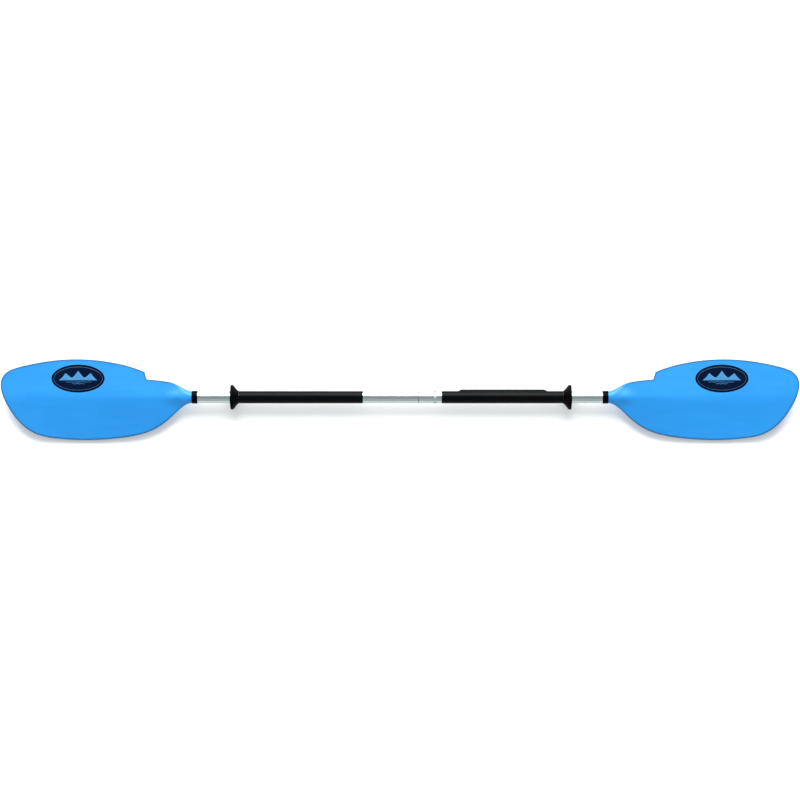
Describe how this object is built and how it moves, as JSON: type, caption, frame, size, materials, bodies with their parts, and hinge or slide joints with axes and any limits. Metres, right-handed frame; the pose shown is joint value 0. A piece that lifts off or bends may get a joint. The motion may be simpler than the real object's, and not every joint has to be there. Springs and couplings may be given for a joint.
{
  "type": "kayak paddle",
  "caption": "Double-bladed take-apart kayak paddle: notched spoon blades on an aluminium shaft with shrink-sleeve grips, cup drip rings and a snap-button ferrule.",
  "frame": {"origin": "on the shaft's axis, half way between the blade tips, with the two halves joined and the blades unfeathered", "axes": "+X along the shaft into the half with the socket, +Y towards the blades' notched edges, +Z out of the blade faces that carry the badges"},
  "size_m": [2.1342, 0.2164, 0.066],
  "materials": {
    "shaft_aluminium": "drawn and clear anodised, satin",
    "rivet_aluminium": "satin",
    "blade_plastic": "moulded polypropylene with a soft sheen",
    "collar_plastic": "satin",
    "steel": "bright",
    "badge_film": "printed film, glossy",
    "grip_sleeve": "satin shrink sleeve",
    "strip_plastic": "extruded",
    "black_rubber": "moulded",
    "washer_plastic": "grey nylon",
    "plug_plastic": "moulded"
  },
  "bodies": {
    "left_half": {"left_shaft_tube": "shaft_aluminium", "left_blade": "blade_plastic", "left_blade_collar": "collar_plastic", "left_blade_pin": "steel", "left_badge": "badge_film", "left_grip_sleeve": "grip_sleeve", "ferrule_insert": "shaft_aluminium", "ferrule_rivets": "rivet_aluminium", "insert_end_plug": "plug_plastic", "button_spring": "steel"},
    "snap_button": {"snap_button": "steel"},
    "ferrule_washer": {"ferrule_washer": "washer_plastic"},
    "right_half": {"right_shaft_tube": "shaft_aluminium", "right_blade": "blade_plastic", "right_blade_collar": "collar_plastic", "right_blade_pin": "steel", "right_badge": "badge_film", "right_grip_sleeve": "grip_sleeve", "right_index_strip": "strip_plastic", "right_bulkhead_plug": "plug_plastic"},
    "left_drip_ring": {"left_drip_ring": "black_rubber"},
    "right_drip_ring": {"right_drip_ring": "black_rubber"}
  },
  "joints": [
    {"name": "snap_button_press", "type": "slide", "parent": "left_half", "child": "snap_button", "axis": [0, 0, -1], "range_m": [0, 0.004], "stiffness_N_per_m": 3000, "springref_m": -0.002, "deforming": ["button_spring"]},
    {"name": "feather", "type": "hinge", "parent": "left_half", "child": "ferrule_washer", "pos_m": [0.04955, 0, 0], "axis": [1, 0, 0], "range_deg": [-60, 60], "deforming": ["snap_button"]},
    {"name": "ferrule_slide", "type": "slide", "parent": "ferrule_washer", "child": "right_half", "axis": [1, 0, 0], "range_m": [0, 0.13], "deforming": ["snap_button"]},
    {"name": "left_drip_slide", "type": "slide", "parent": "left_half", "child": "left_drip_ring", "axis": [-1, 0, 0], "range_m": [0, 0.085]},
    {"name": "right_drip_slide", "type": "slide", "parent": "right_half", "child": "right_drip_ring", "axis": [1, 0, 0], "range_m": [0, 0.08]}
  ]
}
